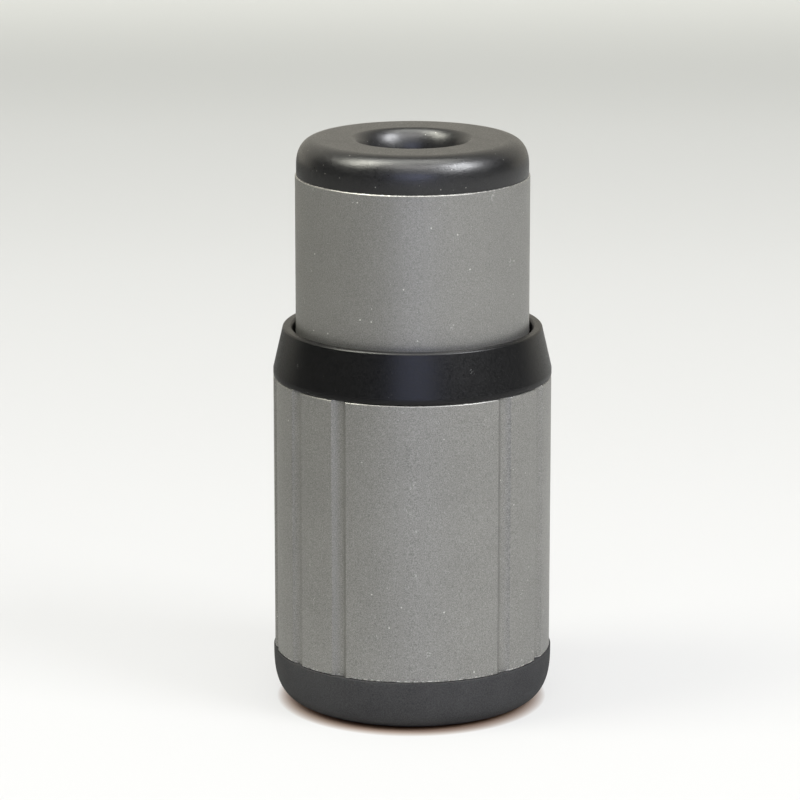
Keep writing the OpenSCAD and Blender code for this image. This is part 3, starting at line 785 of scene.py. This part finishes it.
collar = {
    "foot": 38.32 * mm, "top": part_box("barrel_collar")[1].z, "bottom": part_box("barrel_collar")[0].z,
    "radius": 16 * mm, "land": 0.8 * mm, "tipRadius": 14.9 * mm, "bore": 13.77 * mm,
    "chamfer": 0.15 * mm, "mouth": 0.25 * mm, "feltRadius": 14.3 * mm, "feltLow": 40.3 * mm,
    "feltHigh": 42.3 * mm, "threadRadius": 14.88 * mm, "edgeRound": 0.05 * mm,
}


def makeCollar():
    print("collar")
    c = collar
    piece = sweepOutline("taperedCollar", [
        (c["radius"] - c["chamfer"], c["foot"]), (c["radius"], c["foot"] + c["chamfer"]),
        (c["radius"], c["foot"] + c["land"]), (c["tipRadius"], c["top"] - c["chamfer"]),
        (c["tipRadius"] - c["chamfer"], c["top"]), (c["bore"] + c["mouth"], c["top"]),
        (c["bore"], c["top"] - c["mouth"]), (c["bore"], c["feltHigh"]),
        (c["feltRadius"], c["feltHigh"]), (c["feltRadius"], c["feltLow"]),
        (c["bore"], c["feltLow"]), (c["bore"], c["bottom"]),
        (c["threadRadius"], c["bottom"]), (c["threadRadius"], c["foot"])])
    softenEdges(piece, c["edgeRound"])
    smoothFaces(piece)
    dressPiece(piece, makeCollarBlack(), "collar_black", "barrel", "barrel_collar")


# Eyepiece tube

tube = {
    "radius": 13.39 * mm, "bore": 12.1 * mm, "bottom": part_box("draw_tube")[0].z,
    "top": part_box("draw_tube")[1].z, "chamfer": 0.09 * mm,
    # the glide ring's recess, and the holes of the pins
    "recessRadius": 12.75 * mm, "recessLow": 3.4 * mm, "recessHigh": 5.4 * mm,
    "pinHole": 0.94 * mm, "pinHeight": 1.5 * mm, "pinAngle": 30, "pins": 3, "pinSteps": 48,
    "pinLength": 4 * mm, "edgeRound": 0.04 * mm, "contrast": 0.25, "wornTop": (0.07 * mm, 0.4),
}


def makeTube():
    print("eyepiece tube")
    t = tube
    low = t["bottom"]
    piece = sweepOutline("eyepieceTube", [
        (t["bore"], low), (t["radius"] - t["chamfer"], low), (t["radius"], low + t["chamfer"]),
        (t["radius"], low + t["recessLow"]), (t["recessRadius"], low + t["recessLow"]),
        (t["recessRadius"], low + t["recessHigh"]), (t["radius"], low + t["recessHigh"]),
        (t["radius"], t["top"] - t["chamfer"]), (t["radius"] - t["chamfer"], t["top"]),
        (t["bore"], t["top"])])
    for i in range(t["pins"]):
        angle = math.radians(t["pinAngle"] + 360 * i / t["pins"])
        deselectAll()
        x, y = t["radius"] * math.cos(angle), t["radius"] * math.sin(angle)
        bpy.ops.mesh.primitive_cylinder_add(
            vertices=t["pinSteps"], radius=t["pinHole"], depth=t["pinLength"],
            rotation=(0, math.pi / 2, angle), location=(x, y, low + t["pinHeight"]))
        cutAway(piece, bpy.context.object)
    softenEdges(piece, t["edgeRound"])
    smoothFaces(piece)
    finish = makePaint("tubePaint", t["contrast"], [(t["top"], *t["wornTop"])])
    dressPiece(piece, finish, "grey_paint", "eyepiece", "draw_tube")


# Eyecup

eyecup = {
    "radius": 13.25 * mm, "foot": 61.62 * mm, "top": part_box("eyecup")[1].z,
    "bottom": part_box("eyecup")[0].z, "cornerHeight": 3.05 * mm, "flatRadius": 10.8 * mm,
    "power": 2.3, "mouthRadius": 7.1 * mm, "mouthDepth": 3.15 * mm, "mouthPower": 2.0,
    "hole": 5.4 * mm, "neck": 9.05 * mm, "spigot": 12.06 * mm, "lip": 61.45 * mm,
    "edgeRound": 0.05 * mm,
}


def makeEyecup():
    print("eyecup")
    e = eyecup
    corner = roundedCorner(e["radius"] - e["flatRadius"], e["cornerHeight"], e["power"])
    outer = [(e["flatRadius"] + x, e["top"] - e["cornerHeight"] + z) for x, z in corner]
    corner = roundedCorner(e["mouthRadius"] - e["hole"], e["mouthDepth"], e["mouthPower"])
    mouth = [(e["mouthRadius"] - x, e["top"] - e["mouthDepth"] + z) for x, z in reversed(corner)]
    piece = sweepOutline("softEyecup", [(e["radius"], e["foot"])] + outer + mouth + [
        (e["hole"], e["lip"]), (e["neck"], e["lip"]), (e["neck"], e["bottom"]),
        (e["spigot"], e["bottom"]), (e["spigot"], e["foot"])])
    softenEdges(piece, e["edgeRound"])
    smoothFaces(piece)
    dressPiece(piece, makeEyecupRubber(), "eyecup_rubber", "eyepiece", "eyecup")


# Bumper

bumper = {
    "radius": 16.15 * mm, "top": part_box("front_bumper")[1].z, "footRadius": 12.3 * mm,
    "power": 2.85, "sideSteps": 40, "hole": 9.8 * mm, "lipRound": 0.6 * mm, "lipSteps": 8,
    "flangeRoom": 1.93 * mm, "flangeRadius": 13.42 * mm, "spigotRoom": 2.58 * mm,
    "spigotRadius": 14.62 * mm, "edgeRound": 0.07 * mm,
}


def makeBumper():
    print("bumper")
    p = bumper
    corner = roundedCorner(p["radius"] - p["footRadius"], p["top"], p["power"], p["sideSteps"])
    side = [(p["footRadius"] + x, p["top"] - z) for x, z in corner]
    turns = [math.pi / 2 * i / p["lipSteps"] for i in range(p["lipSteps"] + 1)]
    lip = [(p["hole"] + p["lipRound"] * (1 - math.sin(t)),
            p["lipRound"] - p["lipRound"] * math.cos(t)) for t in turns]
    piece = sweepOutline("softBumper", side + lip + [
        (p["hole"], p["flangeRoom"]), (p["flangeRadius"], p["flangeRoom"]),
        (p["flangeRadius"], p["spigotRoom"]), (p["spigotRadius"], p["spigotRoom"]),
        (p["spigotRadius"], p["top"])])
    softenEdges(piece, p["edgeRound"])
    smoothFaces(piece)
    dressPiece(piece, makeBumperRubber(), "bumper_rubber", "barrel", "front_bumper")


# Optics that show from below and through the eyecup

optics = {
    "frontRadius": 10 * mm, "frontCurve": 29 * mm, "backCurve": 25 * mm, "frontEdge": 1 * mm,
    "eyeCurve": 30 * mm, "eyeBackCurve": 11 * mm, "eyeEdge": 0.9 * mm, "rimBevel": 0.12 * mm,
    # steps across a face, and round each lens and the ring
    "faceSteps": 24, "frontSteps": 192, "eyeSteps": 160, "ringSteps": 256,
    "ringHole": 9.2 * mm, "slotWidth": 1.2 * mm, "slotDepth": 0.7 * mm, "slotReach": 3,
    "ringChamfer": 0.25 * mm, "ringRound": 0.04 * mm,
}


def dishDepth(curve, radius):
    return curve - math.sqrt(curve * curve - radius * radius)


def makeLens(name, radius, rimLow, rimHigh, lowCurve, highCurve, steps):
    # from the lower pole to the upper one; both faces bulge outwards
    bevel = optics["rimBevel"]
    across = [(radius - bevel) * i / optics["faceSteps"] for i in range(optics["faceSteps"] + 1)]
    low = [(r, rimLow - (dishDepth(lowCurve, radius) - dishDepth(lowCurve, r))) for r in across]
    high = [(r, rimHigh + (dishDepth(highCurve, radius) - dishDepth(highCurve, r)))
            for r in reversed(across)]
    rim = [(radius, rimLow + bevel), (radius, rimHigh - bevel)]
    lens = sweepOutline(name, low + rim + high, steps=steps, closed=False)
    smoothFaces(lens)
    return lens


def makeOptics(finishes):
    print("lenses and the objective's ring")
    o = optics
    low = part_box("objective_crown_lens")[0]
    rimLow = low.z + dishDepth(o["frontCurve"], o["frontRadius"])
    lens = makeLens("objectiveLens", o["frontRadius"], rimLow, rimLow + o["frontEdge"],
                    o["frontCurve"], o["backCurve"], o["frontSteps"])
    dressPiece(lens, finishes["coated_glass"], "coated_glass", "barrel", "objective_crown_lens")

    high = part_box("eye_crown_lens")[1]
    rimHigh = high.z - dishDepth(o["eyeCurve"], high.x)
    lens = makeLens("eyeLens", high.x, rimHigh - o["eyeEdge"], rimHigh,
                    o["eyeBackCurve"], o["eyeCurve"], o["eyeSteps"])
    dressPiece(lens, finishes["coated_glass"], "coated_glass", "eyepiece", "eye_crown_lens")

    low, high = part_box("objective_retainer")
    ring = sweepOutline("objectiveRing", [
        (o["ringHole"] + o["ringChamfer"], low.z), (high.x, low.z), (high.x, high.z),
        (o["ringHole"], high.z), (o["ringHole"], low.z + o["ringChamfer"])],
        steps=o["ringSteps"])
    deselectAll()
    bpy.ops.mesh.primitive_cube_add(
        size=1, location=(0, 0, low.z),
        scale=(o["slotReach"] * high.x, o["slotWidth"], 2 * o["slotDepth"]))
    cutAway(ring, bpy.context.object)
    softenEdges(ring, o["ringRound"])
    smoothFaces(ring)
    dressPiece(ring, finishes["black_anodised"], "black_anodised", "barrel", "objective_retainer")


makeCamera()
makeLights()
makeStage()
makeBarrel()
makeCollar()
makeTube()
makeEyecup()
makeBumper()
innerFinishes = makeInnerFinishes()
dressInnerNodes(innerFinishes)
makeOptics(innerFinishes)
